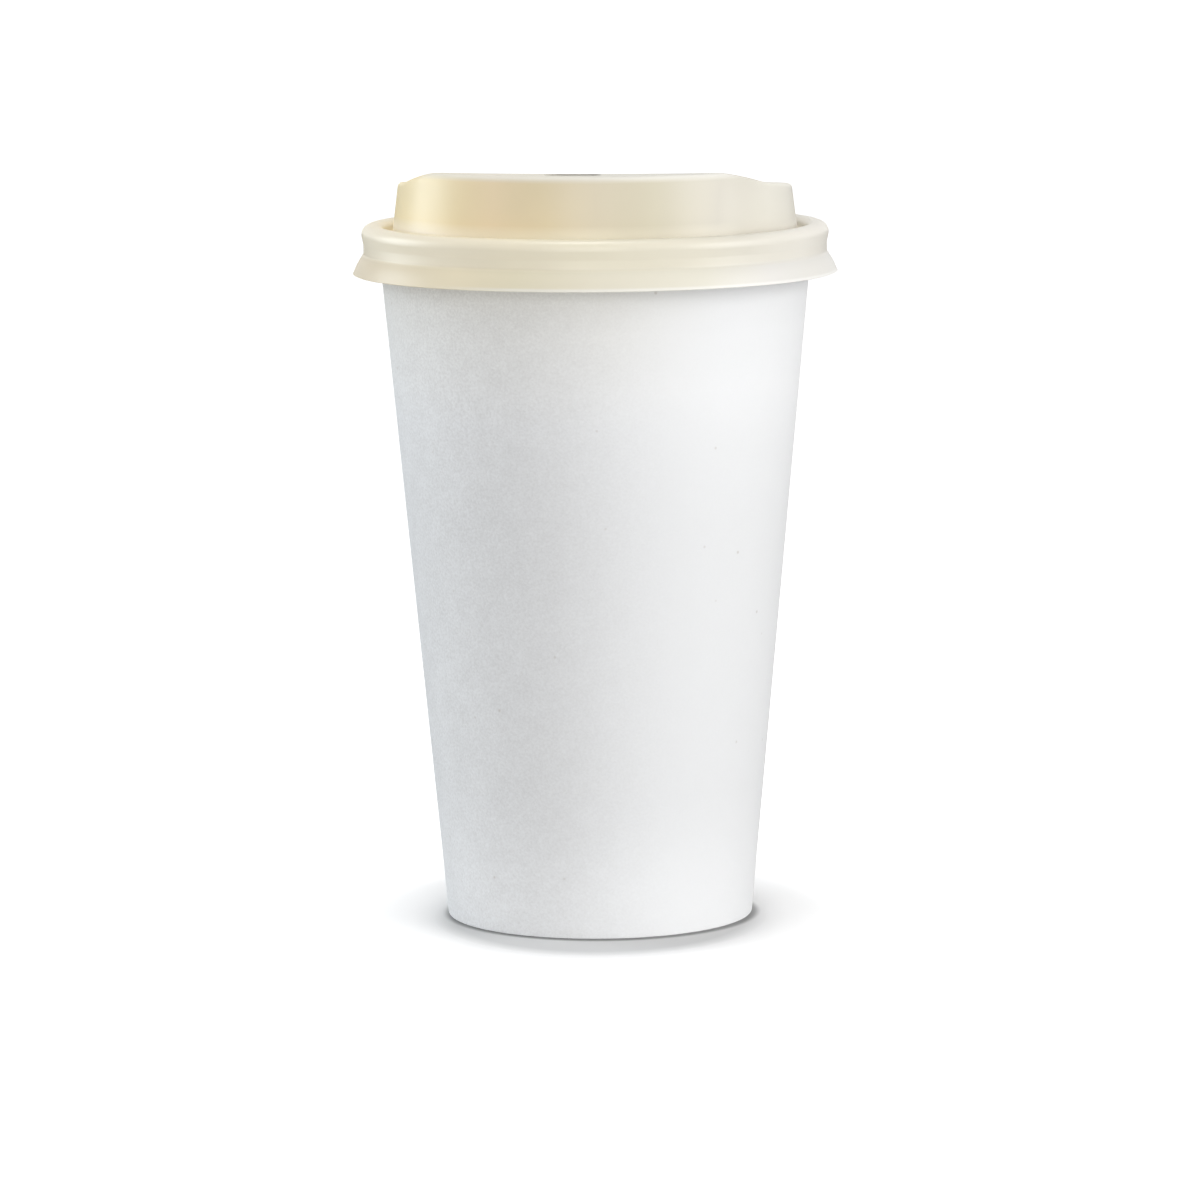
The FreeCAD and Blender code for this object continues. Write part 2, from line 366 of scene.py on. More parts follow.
def make_piece(name, points, quads, materials, slots=None):
    """A mesh object from points in millimetres and quads, its doubles merged and its shading smooth."""
    mesh = bpy.data.meshes.new(name)
    mesh.from_pydata((points * MM).tolist(), [], quads.tolist())
    for material in materials:
        mesh.materials.append(material)
    if slots is not None:
        mesh.polygons.foreach_set("material_index", slots.astype(np.int32))
    merge_doubles(mesh)
    mesh.shade_smooth()
    mesh.set_sharp_from_angle(angle=SHARP_ANGLE)
    piece = bpy.data.objects.new(name, mesh)
    bpy.context.collection.objects.link(piece)
    return piece


# Sidewall and bottom disc

PRINTED_ROLL = ROLL_RADIUS - WALL_THICKNESS
ROLL_CENTRE = np.array([RIM_RADIUS - ROLL_RADIUS, CUP_HEIGHT - ROLL_RADIUS])
TO_ROLL = ROLL_CENTRE - np.array([BASE_RADIUS, 0.0])
WALL_ANGLE = math.atan2(TO_ROLL[0], TO_ROLL[1]) - math.asin(PRINTED_ROLL / np.hypot(*TO_ROLL))


def wall_radius(z, depth=0.0):
    """Radius at height z of the cone that lies this deep under the printed face."""
    return BASE_RADIUS + z * math.tan(WALL_ANGLE) - depth / math.cos(WALL_ANGLE)


def sidewall_section(depth):
    """The board's face at this depth: hem, base fold, cone, and the rim rolled about its centre."""
    hem_depth = 2 * WALL_THICKNESS + DISC_THICKNESS + 2 * SEAL_GAP
    hem_top = DISC_TOP - DISC_THICKNESS - HEM_BELOW_DISC
    turn_in = math.pi - WALL_ANGLE
    turn_out = math.acos((PRINTED_ROLL - ROLL_END_GAP) / ROLL_RADIUS) - math.pi - WALL_ANGLE
    roll_start = ROLL_CENTRE + PRINTED_ROLL * np.array([math.cos(turn_in), math.sin(turn_in)])
    points = [
        (wall_radius(hem_top, hem_depth), hem_top),
        (wall_radius(0, hem_depth), 0.0),
        (BASE_RADIUS, 0.0),
        roll_start,
    ]
    moved, corners = inset(points, (0, FOLD_RADIUS, FOLD_RADIUS, 0), depth)
    line = rounded_line(moved, corners, FOLD_STEPS)
    line = divided(line, len(line) - 2, CONE_ROWS)
    angles = np.linspace(turn_in, turn_out, ROLL_ROWS + 1)[1:]
    roll = ROLL_CENTRE + (PRINTED_ROLL + depth) * np.stack([np.cos(angles), np.sin(angles)], axis=-1)
    return np.concatenate([line, roll])


def make_sidewall(materials):
    """One sheet wound once round and lapped.

    The station at share u of the wrap turns by u * (full turn + overlap / radius), so the lap keeps its
    width up the cone. Over the ramp before the outer end the sheet steps outwards by its thickness. In
    the base fold and the rim roll the lap is pressed: there each layer has half of the thickness.
    """
    outline = sidewall_section(0.0)
    through = (sidewall_section(WALL_THICKNESS) - outline) / WALL_THICKNESS
    height = outline[:, 1]
    pressed = 1.0 - smooth_step((height - PRESS_START) / PRESS_REACH)
    pressed += smooth_step((height - (CUP_HEIGHT - 2 * ROLL_RADIUS) + PRESS_REACH) / PRESS_REACH)
    lap_turn = SEAM_OVERLAP / outline[:, 0]
    outer_ramp = OUTER_RAMP / outline[:, 0]
    inner_ramp = INNER_RAMP / outline[:, 0]
    wrap = np.concatenate([
        np.linspace(0.0, INNER_LAP, INNER_LAP_TURNS)[:-1],
        np.linspace(INNER_LAP, OUTER_LAP, WALL_TURNS)[:-1],
        np.linspace(OUTER_LAP, 1.0, OUTER_LAP_TURNS),
    ])
    turn = wrap[:, None] * (2 * math.pi + lap_turn)
    over = smooth_step((turn - 2 * math.pi + outer_ramp) / outer_ramp)
    under = 1.0 - smooth_step((turn - lap_turn) / inner_ramp)
    half = WALL_THICKNESS / 2
    printed_depth = half * pressed * under - WALL_THICKNESS * (1 - pressed) * over
    coated_depth = WALL_THICKNESS - (WALL_THICKNESS - half * pressed + GLUE_GAP) * over
    faces = []
    for depth in (printed_depth, coated_depth):
        section = outline + depth[..., None] * through
        faces.append(turned(section[..., 0], section[..., 1], turn + SEAM_BEARING))
    grid = np.concatenate([faces[0], faces[1][:, ::-1]], axis=1)
    stations, around = grid.shape[:2]
    quads = grid_quads(stations, around, close_columns=True)
    middle = around // 2
    k = np.arange(middle - 1)
    first_cap = np.stack([k, k + 1, around - 2 - k, around - 1 - k], axis=-1)
    last_cap = first_cap[:, ::-1] + (stations - 1) * around
    column = quads[:, 0] % around
    cut = (column == middle - 1) | (column == around - 1)
    slots = np.where(cut, RAW_EDGE, np.where(column < middle, PRINTED, COATED))
    slots = np.concatenate([slots, np.full(2 * len(k), RAW_EDGE)])
    all_quads = np.concatenate([quads, first_cap, last_cap])
    return make_piece("cup_sidewall", grid.reshape(-1, 3), all_quads, materials, slots)


def make_disc(materials):
    """The bottom: a section turned about the axis, its flat dished by DISC_DISH * (1 - (r / R)^2)."""
    depth = WALL_THICKNESS + SEAL_GAP
    points = [
        (wall_radius(SKIRT_FOOT, depth), SKIRT_FOOT),
        (wall_radius(DISC_TOP, depth), DISC_TOP),
        (0.0, DISC_TOP),
    ]
    faces = []
    for at in (0.0, DISC_THICKNESS):
        moved, corners = inset(points, (0, DISC_CORNER, 0), at)
        line = rounded_line(moved, corners)
        line = divided(line, len(line) - 2, DISC_ROWS)
        line[-1, 0] = 0.0
        share = line[:, 0] / moved[1, 0]
        line[:, 1] -= DISC_DISH * (1 - share ** 2) * (line[:, 1] > DISC_TOP - 2 * DISC_CORNER)
        faces.append(line)
    section = np.concatenate([faces[0], faces[1][::-1]])
    bearing = np.linspace(0, 2 * math.pi, DISC_TURNS, endpoint=False)
    grid = turned(section[:, 0], section[:, 1], bearing[:, None])
    quads = grid_quads(*grid.shape[:2], close_rows=True, close_columns=True)
    middle = len(faces[0]) - 1
    quads = quads[quads[:, 0] % len(section) != middle]
    column = quads[:, 0] % len(section)
    slots = np.where(column < middle, COATED, PRINTED)
    slots = np.where(column == len(section) - 1, RAW_EDGE, slots)
    return make_piece("bottom_disc", grid.reshape(-1, 3), quads, materials, slots)


# Lid section and top

CREST_Z = CUP_HEIGHT + SEAT_GAP + LID_THICKNESS
MOAT_Z = CREST_Z - MOAT_DEPTH
SKIRT_TOP_Z = CREST_Z - SKIRT_TOP_DROP
GROOVE_RADIUS = RIM_RADIUS + GROOVE_GAP + LID_THICKNESS
BEAD_RADIUS = GROOVE_RADIUS + BEAD_BULGE
BEAD_Z = CREST_Z - BEAD_DROP
PLUG_DEPTH = WALL_THICKNESS + PLUG_GAP + LID_THICKNESS
DOME_FOOT = wall_radius(MOAT_Z, PLUG_DEPTH) - MOAT_WIDTH
DOME_START_Z = CREST_Z + DOME_START


def dome_radius(z):
    """Radius of the dome's wall at height z."""
    return DOME_FOOT - (z - MOAT_Z) * DOME_DRAFT


PLATFORM_EDGE = dome_radius(PLATFORM_Z)
PLATFORM_BACK = PLATFORM_EDGE - PLATFORM_DEPTH
RAMP_FOOT = PLATFORM_BACK - RAMP_RUN
FAR_AXIS = PLATFORM_BACK - CRESCENT_RADIUS
DECK_RADIUS = PLATFORM_EDGE - RING_WIDTH
DECK_FRONT = CRESCENT_RADIUS - DECK_SETBACK
DECK_Z = PLATFORM_Z - RAMP_DROP - (RAMP_FOOT + DECK_RADIUS) * RING_FALL - DECK_BACK_DEPTH


def soft_ramp(x):
    """Zero for x below the bend, x above it, and a parabola through the bend."""
    bend = (x + BEND_REACH) ** 2 / (4 * BEND_REACH)
    return np.where(x < -BEND_REACH, 0.0, np.where(x > BEND_REACH, x, bend))


def top_height(radius, bearing):
    """Height of the lid's top: platform, ramp and sloping ring, which all curve about the far axis."""
    along = np.hypot(radius * np.cos(bearing) - FAR_AXIS, radius * np.sin(bearing)) + FAR_AXIS
    ramp_slope = RAMP_DROP / RAMP_RUN
    fall = ramp_slope * soft_ramp(PLATFORM_BACK - along)
    return PLATFORM_Z - fall - (RING_FALL - ramp_slope) * soft_ramp(RAMP_FOOT - along)


def to_circle(bearing, x, y, radius):
    """Distance from the lid's axis to the far side of a circle about (x, y), at each bearing."""
    aside = y * np.cos(bearing) - x * np.sin(bearing)
    return x * np.cos(bearing) + y * np.sin(bearing) + np.sqrt(np.maximum(radius ** 2 - aside ** 2, 0.0))


def deck_edge(bearing):
    """Distance from the lid's axis to the deck's edge at platform level.

    The edge is a circle about the lid's axis and an arc about the far axis. Its two round corners are
    centred where both of them, drawn in by the corner's radius, meet.
    """
    radius, front = DECK_RADIUS - DECK_CORNER, DECK_FRONT - DECK_CORNER
    x = (radius ** 2 + FAR_AXIS ** 2 - front ** 2) / (2 * FAR_AXIS)
    y = math.sqrt(radius ** 2 - x ** 2)
    arc_end = math.atan2(y * DECK_FRONT, FAR_AXIS * front + (x - FAR_AXIS) * DECK_FRONT)
    aside = np.abs((bearing + math.pi) % (2 * math.pi) - math.pi)
    on_front = to_circle(aside, FAR_AXIS, 0.0, DECK_FRONT)
    on_corner = to_circle(aside, x, y, DECK_CORNER)
    edge = np.where(aside < arc_end, on_front, on_corner)
    return np.where(aside > math.atan2(y, x), DECK_RADIUS, edge)


def lid_rim_section():
    """The part of the lid's section that is the same all round, as (radius, height, bend) corners."""
    crown_radius = (SKIRT_RADIUS + GROOVE_RADIUS) / 2 + SKIRT_CROWN
    crown_z = (SKIRT_Z + SKIRT_TOP_Z) / 2 + SKIRT_CROWN
    corners = np.array([
        (SKIRT_RADIUS, SKIRT_Z, 0.0),
        (crown_radius, crown_z, SKIRT_SWEEP),
        (GROOVE_RADIUS, SKIRT_TOP_Z, TIGHT_BEND),
        (GROOVE_RADIUS, BEAD_Z - BEAD_RUN_IN, BEAD_BEND),
        (BEAD_RADIUS, BEAD_Z, BEAD_BEND),
        (BEAD_RADIUS, CREST_Z, CREST_OUTER_BEND),
        (wall_radius(CREST_Z, PLUG_DEPTH), CREST_Z, CREST_INNER_BEND),
        (wall_radius(MOAT_Z, PLUG_DEPTH), MOAT_Z, TIGHT_BEND),
        (DOME_FOOT, MOAT_Z, TIGHT_BEND),
        (dome_radius(DOME_START_Z), DOME_START_Z, 0.0),
    ])
    return rounded_line(corners[:, :2], corners[:, 2])


def lid_top_section(bearing):
    """The rest of the section at each bearing: wall, rounded edge, band, deck wall and deck.

    Where the wall meets the sloping top, and where the deck's wall does, the radius depends on the
    height and the height on the radius, so both are worked out in rounds until they agree.
    """
    edge_z = np.full_like(bearing, PLATFORM_Z)
    for _ in range(SETTLING_ROUNDS):
        edge_z = top_height(dome_radius(edge_z), bearing)
    edge_r = dome_radius(edge_z)
    rim = deck_edge(bearing)
    before, after = deck_edge(bearing - BEARING_STEP), deck_edge(bearing + BEARING_STEP)
    slant = (after - before) / (2 * BEARING_STEP) / rim
    draft = DECK_DRAFT * np.sqrt(1 + slant ** 2)
    mouth_r = rim.copy()
    for _ in range(SETTLING_ROUNDS):
        mouth_z = top_height(mouth_r, bearing)
        mouth_r = rim - (PLATFORM_Z - mouth_z) * draft
    floor_r = rim - (PLATFORM_Z - DECK_Z) * draft

    def at(radius, height):
        return np.stack([radius + 0 * bearing, height + 0 * bearing], axis=-1)

    def on_top(radius):
        return at(radius, top_height(radius, bearing))

    outer_r, inner_r = edge_r - EDGE_RUN, mouth_r + MOUTH_RUN
    up = np.stack([at(dome_radius(DOME_START_Z), DOME_START_Z), at(edge_r, edge_z), on_top(outer_r)])
    outside = rounded_line(up, (0, EDGE_BEND, 0), EDGE_STEPS)
    outside = divided(outside, 0, DOME_ROWS)
    shares = np.linspace(0.0, 1.0, BAND_ROWS + 2)[1:-1]
    band = np.stack([on_top(outer_r * (1 - s) + inner_r * s) for s in shares])
    mouth, foot, flat = at(mouth_r, mouth_z), at(floor_r, DECK_Z), at(floor_r * DECK_START, DECK_Z)
    down = np.stack([on_top(inner_r), mouth, foot, flat])
    inside = rounded_line(down, (0, MOUTH_BEND, DECK_FOOT_BEND, 0))
    inside = divided(inside, CORNER_STEPS + 1, DECK_WALL_ROWS)
    fractions = np.concatenate([
        np.linspace(DECK_START, VENT_START, DECK_ROWS)[1:-1],
        np.linspace(VENT_START, VENT_END, VENT_ROWS),
        np.linspace(VENT_END, 0.0, DECK_ROWS)[1:],
    ])
    deck = np.stack([at(floor_r * f, DECK_Z) for f in fractions])
    return np.concatenate([outside[1:], band, inside, deck])


def lid_surface():
    """Upper face of the lid as a grid of stations by bearings, in millimetres, sipping side on +X."""
    bearing = np.linspace(0, 2 * math.pi, LID_TURNS, endpoint=False)
    rim = lid_rim_section()[:, None, :] * np.ones((1, LID_TURNS, 1))
    section = np.concatenate([rim, lid_top_section(bearing)])
    return turned(section[..., 0], section[..., 1], bearing)


def surface_normals(grid):
    """Unit normals of a grid closed in its second direction, from its central differences."""
    down = np.gradient(grid, axis=0)
    round_way = np.roll(grid, -1, axis=1) - np.roll(grid, 1, axis=1)
    round_way[-1] = round_way[-2]
    return unit(np.cross(round_way, down))


def slot_distance(x, y):
    """Signed distance in plan to the sip hole's edge, negative inside the hole."""
    straight = (SIP_LENGTH - SIP_WIDTH) / 2
    sideways = np.maximum(np.abs(y) - straight, 0.0)
    return np.hypot(sideways, x - (PLATFORM_EDGE - SIP_SETBACK)) - SIP_WIDTH / 2


def vent_distance(x, y):
    """The same to the round vent's edge."""
    return np.hypot(x + VENT_OFFSET, y) - VENT_RADIUS


def open_hole(faces, distance, span):
    """Snaps the grid points round a hole to its edge in both faces, and says which quads it removes.

    A quad goes if its four corners are inside. A corner inside that a kept quad still uses moves out
    along the distance's gradient to the edge.
    """
    x, y = faces[0][..., 0], faces[0][..., 1]
    gap = distance(x, y)
    inside = gap < 0
    inside[:span[0]] = False
    inside[span[1]:] = False
    right = np.roll(inside, -1, axis=1)
    gone = inside[:-1] & right[:-1] & inside[1:] & right[1:]
    kept = ~gone
    used = np.zeros_like(inside)
    used[:-1] |= kept
    used[1:] |= kept
    used[:-1] |= np.roll(kept, 1, axis=1)
    used[1:] |= np.roll(kept, 1, axis=1)
    slope_x = (distance(x + PLAN_STEP, y) - distance(x - PLAN_STEP, y)) / (2 * PLAN_STEP)
    slope_y = (distance(x, y + PLAN_STEP) - distance(x, y - PLAN_STEP)) / (2 * PLAN_STEP)
    shift = np.where(inside & used, -gap, 0.0)
    for face in faces:
        face[..., 0] += shift * slope_x
        face[..., 1] += shift * slope_y
    return gone


def hole_walls(gone, columns, offset):
    """Quads that join both faces along the border between removed and kept quads."""
    padded = np.zeros((gone.shape[0] + 2, gone.shape[1]), dtype=bool)
    padded[1:-1] = gone
    i, j = np.nonzero(padded[:-1] != padded[1:])
    along = bridge(i * columns + j, i * columns + (j + 1) % columns, offset)
    i, j = np.nonzero(gone != np.roll(gone, 1, axis=1))
    across = bridge(i * columns + j, (i + 1) * columns + j, offset)
    return np.concatenate([along, across])


def make_lid(materials):
    """The upper face, the same face moved in by the sheet's thickness, and the cut edges between."""
    upper = lid_surface()
    lower = upper - surface_normals(upper) * LID_THICKNESS
    lower[-1, :, :2] = 0.0
    faces = [upper, lower]
    rows, columns = upper.shape[:2]
    deck_row = rows - FLAT_ROWS
    gone = open_hole(faces, slot_distance, (0, deck_row))
    gone |= open_hole(faces, vent_distance, (deck_row, rows))
    count = rows * columns
    quads = grid_quads(rows, columns, close_columns=True)[~gone.reshape(-1)]
    j = np.arange(columns)
    skirt_edge = bridge(j, (j + 1) % columns, count)
    all_quads = np.concatenate([quads, quads[:, ::-1] + count, skirt_edge, hole_walls(gone, columns, count)])
    points = np.concatenate([upper.reshape(-1, 3), lower.reshape(-1, 3)])
    x, y = points[:, 0].copy(), points[:, 1].copy()
    points[:, 0] = x * math.cos(SIP_BEARING) - y * math.sin(SIP_BEARING)
    points[:, 1] = x * math.sin(SIP_BEARING) + y * math.cos(SIP_BEARING)
    return make_piece("travel_lid", points, all_quads, materials)


# Material nodes

def put(tree, socket, value):
    """Links an input socket to another socket, or sets it to a number, a place or a colour."""
    if isinstance(value, bpy.types.NodeSocket):
        tree.links.new(value, socket)
    elif socket.type == "RGBA":
        socket.default_value = (*value, 1.0)
    else:
        socket.default_value = value


def new_node(tree, kind, inputs=None, **settings):
    """A node with these settings, and its inputs linked or set."""
    node = tree.nodes.new(kind)
    for key, value in settings.items():
        setattr(node, key, value)
    for key, value in (inputs or {}).items():
        put(tree, node.inputs[key], value)
    return node


def calculate(tree, operation, *values, clamped=False):
    """The result of a sum on numbers or sockets."""
    inputs = dict(enumerate(values))
    return new_node(tree, "ShaderNodeMath", inputs, operation=operation, use_clamp=clamped).outputs[0]


def calculate_place(tree, operation, *values):
    """The outputs of a sum on places."""
    return new_node(tree, "ShaderNodeVectorMath", dict(enumerate(values)), operation=operation).outputs


def mapped(tree, value, low, high, to_low=0.0, to_high=1.0, curve="LINEAR"):
    """The value, its run from low to high mapped onto the run from to_low to to_high."""
    inputs = {"Value": value, "From Min": low, "From Max": high, "To Min": to_low, "To Max": to_high}
    return new_node(tree, "ShaderNodeMapRange", inputs, interpolation_type=curve).outputs["Result"]


def mixed(tree, factor, first, second, blend="MIX"):
    """The first colour, with the second blended in by the factor."""
    inputs = {"Factor": factor, "A": first, "B": second}
    return new_node(tree, "ShaderNodeMix", inputs, data_type="RGBA", blend_type=blend).outputs["Result"]


def ramp(tree, value, stops):
    """The colour at a value from 0 to 1 of a ramp through the stops, each a place and a colour."""
    node = new_node(tree, "ShaderNodeValToRGB", {"Fac": value})
    elements = node.color_ramp.elements
    for place, _ in stops[2:]:
        elements.new(place)
    for element, (place, color) in zip(elements, stops):
        element.position = place
        element.color = (*color, 1.0)
    return node.outputs["Color"]


def grey_ramp(tree, value, stops):
    """The same for stops with a lightness each."""
    return ramp(tree, value, [(place, (level, level, level)) for place, level in stops])


def noise(tree, place, scale, detail, roughness=0.5):
    """Smooth noise from 0 to 1 at each place."""
    inputs = {"Vector": place, "Scale": scale, "Detail": detail, "Roughness": roughness}
    return new_node(tree, "ShaderNodeTexNoise", inputs).outputs["Fac"]


def object_place(tree):
    """The place on the object in metres, and its X and Z."""
    place = new_node(tree, "ShaderNodeTexCoord").outputs["Object"]
    parts = new_node(tree, "ShaderNodeSeparateXYZ", {"Vector": place}).outputs
    return place, parts["X"], parts["Z"]


def principled_material(name, **values):
    """A material, its node tree and its shader, whose sockets take the values named after them."""
    material = bpy.data.materials.new(name)
    material.use_nodes = True
    shader = material.node_tree.nodes["Principled BSDF"]
    for key, value in values.items():
        shader.inputs[key.replace("_", " ")].default_value = value
    return material, material.node_tree, shader


def add_relief(tree, shader, height, strength):
    """Bumps the shader's surface by the height."""
    inputs = {"Height": height, "Strength": strength, "Distance": BUMP_DISTANCE}
    put(tree, shader.inputs["Normal"], new_node(tree, "ShaderNodeBump", inputs).outputs["Normal"])


# Materials

def board_grain_group():
    """Fine paper grain, slow mottling and rare fibre specks, from Object coordinates."""
    group = bpy.data.node_groups.new("board_grain", "ShaderNodeTree")
    for name, default in (("Grain Scale", 2000.0), ("Mottle Scale", 240.0), ("Speck Scale", 130.0)):
        socket = group.interface.new_socket(name, in_out="INPUT", socket_type="NodeSocketFloat")
        socket.default_value = default
    for name in ("Grain", "Mottle", "Speck"):
        group.interface.new_socket(name, in_out="OUTPUT", socket_type="NodeSocketFloat")
    scales = new_node(group, "NodeGroupInput").outputs
    place = new_node(group, "ShaderNodeTexCoord").outputs["Object"]
    cells = new_node(group, "ShaderNodeTexVoronoi", {"Vector": place, "Scale": scales["Speck Scale"]})
    new_node(group, "NodeGroupOutput", {
        "Grain": noise(group, place, scales["Grain Scale"], 3.0, 0.65),
        "Mottle": noise(group, place, scales["Mottle Scale"], 2.0),
        "Speck": mapped(group, cells.outputs["Distance"], *SPECK_EDGE, 1.0, 0.0),
    })
    return group


def board_material(name, grain_group, pale, deep, roughness, bump):
    """Board: its colour runs between two tints with the mottling and grain, and takes rare specks.

    The grain shows most on the left, which lies in shade. Near the lid, but for its right side, the
    board takes a painted warm bounce from the lid, and painted light and shade run over its height:
    lighter at the foot and darker in the lid's shadow at the top.
    """
    material, tree, shader = principled_material(name, Roughness=roughness, Specular_IOR_Level=0.35)
    texture = new_node(tree, "ShaderNodeGroup", node_tree=grain_group).outputs
    _, x, z = object_place(tree)
    mottling = calculate(tree, "MULTIPLY", texture["Mottle"], MOTTLE_SHARE)
    grain = calculate(tree, "MULTIPLY_ADD", texture["Grain"], GRAIN_SHARE, mottling)
    centred = calculate(tree, "SUBTRACT", grain, 0.5)
    contrast = mapped(tree, x, *CONTRAST_X, *CONTRAST)
    spread = calculate(tree, "MULTIPLY_ADD", centred, contrast, 0.5, clamped=True)
    tint = mixed(tree, spread, deep, pale)
    # painted warm bounce from the lid on the board near it, but for its right side
    near_lid_bounce = mapped(tree, z, *LID_BOUNCE_Z)
    off_right = mapped(tree, x, *LID_BOUNCE_X, 1.0, 0.0)
    with_lid_bounce = mixed(tree, calculate(tree, "MULTIPLY", near_lid_bounce, off_right), tint, LID_BOUNCE_TINT, "MULTIPLY")
    # painted light and shade over the height: lighter at the foot, darker in the lid's shadow at the top
    painted_light_and_shade = grey_ramp(tree, mapped(tree, z, 0.0, PAINTED_SHADE_HEIGHT), BOARD_PAINTED_LIGHT_AND_SHADE)
    shaded = mixed(tree, 1.0, with_lid_bounce, painted_light_and_shade, "MULTIPLY")
    speck = calculate(tree, "MULTIPLY", texture["Speck"], SPECK_STRENGTH)
    put(tree, shader.inputs["Base Color"], mixed(tree, speck, shaded, SPECK_TINT))
    add_relief(tree, shader, texture["Grain"], bump)
    return material


def lid_material():
    """Cream sheet with painted light: lit and warm on the left, shaded and greyer on the right, and its
    rim painted paler than its dome for the light from above.

    The tints are faintly blotched. The top is painted paler for the light it takes and is duller, and the
    skirt's bottom edge carries a painted pale highlight but for its left end.
    """
    material, tree, shader = principled_material("lid_cream", Specular_IOR_Level=0.5)
    place, x, z = object_place(tree)
    blotch = noise(tree, place, 60.0, 1.5)
    shift = calculate(tree, "MULTIPLY_ADD", blotch, BLOTCH_SPREAD, -BLOTCH_SPREAD / 2)
    # painted light: the tints are lit and warm on the left, shaded and grey on the right, the rim paler than
    # the dome
    spot = calculate(tree, "ADD", mapped(tree, x, *TINT_AND_LIGHT_X), shift, clamped=True)
    skirt, bead, dome = (ramp(tree, spot, tints) for tints in (SKIRT_TINT_AND_PAINTED_LIGHT, BEAD_TINT_AND_PAINTED_LIGHT, DOME_TINT_AND_PAINTED_LIGHT))
    rim = mixed(tree, mapped(tree, z, *SKIRT_TO_BEAD_Z), skirt, bead)
    tint = mixed(tree, mapped(tree, z, *BEAD_TO_DOME_Z), rim, dome)
    # painted light: the top, facing the light from above, is painted paler
    on_top = mapped(tree, z, *TOP_Z, 0.0, TOP_LIGHT_SHARE)
    # painted highlight: the skirt's bottom edge is painted pale where it catches the light, but for its left
    # end
    by_edge_highlight = mapped(tree, z, *EDGE_HIGHLIGHT_Z, 0.0, EDGE_HIGHLIGHT_SHARE)
    off_left = mapped(tree, x, *EDGE_HIGHLIGHT_X)
    with_top_light = mixed(tree, on_top, tint, TOP_LIGHT_TINT)
    with_edge_highlight = mixed(tree, calculate(tree, "MULTIPLY", by_edge_highlight, off_left), with_top_light, EDGE_HIGHLIGHT_TINT)
    haze = noise(tree, place, 900.0, 2.0)
    gloss = mapped(tree, haze, *HAZE, *LID_ROUGHNESS)
    put(tree, shader.inputs["Base Color"], with_edge_highlight)
    put(tree, shader.inputs["Roughness"], calculate(tree, "MULTIPLY_ADD", on_top, TOP_DULLNESS, gloss))
    add_relief(tree, shader, haze, 0.03)
    return material


def floor_material():
    """A pale floor that keeps the shadow round the cup's foot and turns white past it.

    The white is a glow that only the camera sees. So is a painted contact shadow, a soft dark line round
    the foot. To all other rays the floor is a little paler there, for the light that it throws up at the
    cup.
    """
    values = {"Roughness": 0.9, "Specular_IOR_Level": 0.0, "Emission_Strength": 1.0}
    material, tree, shader = principled_material("studio_floor", **values)
    place = object_place(tree)[0]
    seen = new_node(tree, "ShaderNodeLightPath").outputs["Is Camera Ray"]
    centre = (0.0, SHADOW_SCALE[1] * SHADOW_FORWARD, 0.0)
    from_shadow = calculate_place(tree, "MULTIPLY_ADD", place, SHADOW_SCALE, centre)["Vector"]
    reach = calculate_place(tree, "LENGTH", from_shadow)["Value"]
    glow = mixed(tree, seen, (0.0, 0.0, 0.0), grey_ramp(tree, reach, FLOOR_GLOW))
    # painted contact shadow: the camera sees a soft dark line round the foot, darker than the floor's light
    # gives
    from_foot = calculate_place(tree, "DISTANCE", place, CONTACT_SHADOW_PLACE)["Value"]
    line = (CONTACT_SHADOW_RADIUS, CONTACT_SHADOW_RADIUS + CONTACT_SHADOW_FADE, CONTACT_SHADOW_LEVEL, FLOOR_LEVEL)
    painted_contact_shadow = mapped(tree, from_foot, *line, curve="SMOOTHSTEP")
    bounce = mapped(tree, from_foot, *BOUNCE_REACH, BOUNCE_LEVEL, FLOOR_LEVEL)
    put(tree, shader.inputs["Base Color"], mixed(tree, seen, bounce, painted_contact_shadow))
    put(tree, shader.inputs["Emission Color"], glow)
    return material


# Studio

def make_floor():
    """A level square under the cup."""
    corners = [(x * FLOOR_HALF, y * FLOOR_HALF, 0) for x, y in ((-1, -1), (1, -1), (1, 1), (-1, 1))]
    mesh = bpy.data.meshes.new("studio_floor")
    mesh.from_pydata(corners, [], [(0, 1, 2, 3)])
    mesh.materials.append(floor_material())
    floor = bpy.data.objects.new("studio_floor", mesh)
    bpy.context.collection.objects.link(floor)


def make_world(strength):
    """Even light of this strength from all sides, which camera, gloss and glass see as white."""
    world = bpy.data.worlds.new("studio_world")
    world.use_nodes = True
    bpy.context.scene.world = world
    tree = world.node_tree
    rays = new_node(tree, "ShaderNodeLightPath").outputs
    seen = calculate(tree, "MAXIMUM", rays["Is Camera Ray"], rays["Is Glossy Ray"])
    seen = calculate(tree, "MAXIMUM", seen, rays["Is Transmission Ray"])
    background = tree.nodes["Background"]
    put(tree, background.inputs["Strength"], mapped(tree, seen, 0.0, 1.0, strength, 1.0))
    put(tree, background.inputs["Color"], (1.0, 1.0, 1.0))


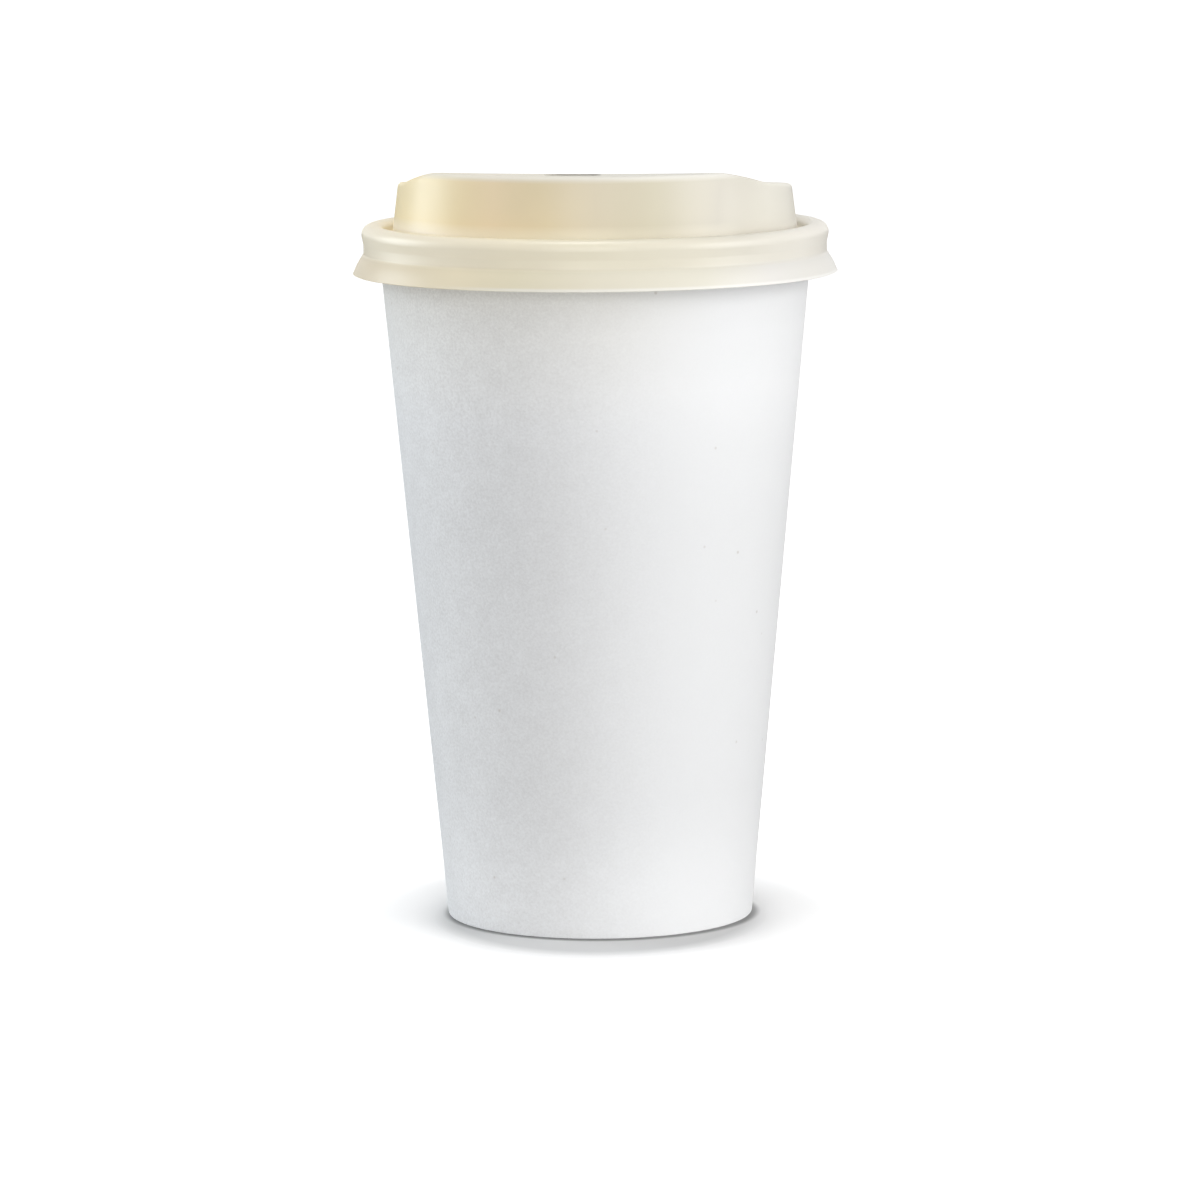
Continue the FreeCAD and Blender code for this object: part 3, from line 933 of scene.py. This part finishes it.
def add_softbox(name, bearing, rise, size, watts, color=(1.0, 1.0, 1.0)):
    """A square lamp aimed at the cup, at this bearing to the right of the camera and this elevation."""
    data = bpy.data.lights.new(name, "AREA")
    data.size = size
    data.energy = watts
    data.color = color
    across, up = math.radians(bearing), math.radians(rise)
    away = Vector((math.sin(across) * math.cos(up), -math.cos(across) * math.cos(up), math.sin(up)))
    lamp = bpy.data.objects.new(name, data)
    lamp.location = LAMP_TARGET + LAMP_DISTANCE * away
    lamp.rotation_mode = "QUATERNION"
    lamp.rotation_quaternion = away.to_track_quat("Z", "Y")
    bpy.context.collection.objects.link(lamp)


def make_camera():
    """The photograph's view, from a camera fitted to the cup's outlines."""
    data = bpy.data.cameras.new("photo_camera")
    data.sensor_width = SENSOR_WIDTH
    data.lens = FOCAL_LENGTH
    camera = bpy.data.objects.new("photo_camera", data)
    turn = Matrix.Rotation(-CAMERA_YAW, 4, "Z") @ Matrix.Rotation(math.pi / 2 - CAMERA_PITCH, 4, "X")
    camera.matrix_world = Matrix.Translation(CAMERA_PLACE) @ (turn @ Matrix.Rotation(CAMERA_ROLL, 4, "Z"))
    bpy.context.collection.objects.link(camera)
    bpy.context.scene.camera = camera


board_grain = board_grain_group()
boards = [
    board_material("board_printed_face", board_grain, pale=(0.985, 0.993, 1.0), deep=(0.845, 0.845, 0.847),
                   roughness=0.72, bump=0.25),
    board_material("board_coated_face", board_grain, pale=(0.93, 0.93, 0.93), deep=(0.885, 0.885, 0.88),
                   roughness=0.32, bump=0.12),
    board_material("board_raw_edge", board_grain, pale=(0.93, 0.895, 0.84), deep=(0.795, 0.75, 0.685),
                   roughness=0.85, bump=0.5),
]

sidewall = make_sidewall(boards)
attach(sidewall, "cup")
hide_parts("cup_wall")

disc = make_disc(boards)
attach(disc, "cup")
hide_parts("cup_bottom")

lid = make_lid([lid_material()])
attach(lid, "lid")
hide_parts("lid")

make_floor()
make_world(strength=0.24)
add_softbox("left_edge", bearing=-110, rise=14, size=0.5, watts=3.3, color=(0.88, 0.95, 1.0))
add_softbox("front_fill", bearing=-5, rise=12, size=0.5, watts=2.15)
add_softbox("right_key", bearing=67, rise=16, size=0.6, watts=4.4)
add_softbox("top_light", bearing=-35, rise=84, size=0.25, watts=2.3)
make_camera()
bpy.context.scene.view_settings.view_transform = "Standard"
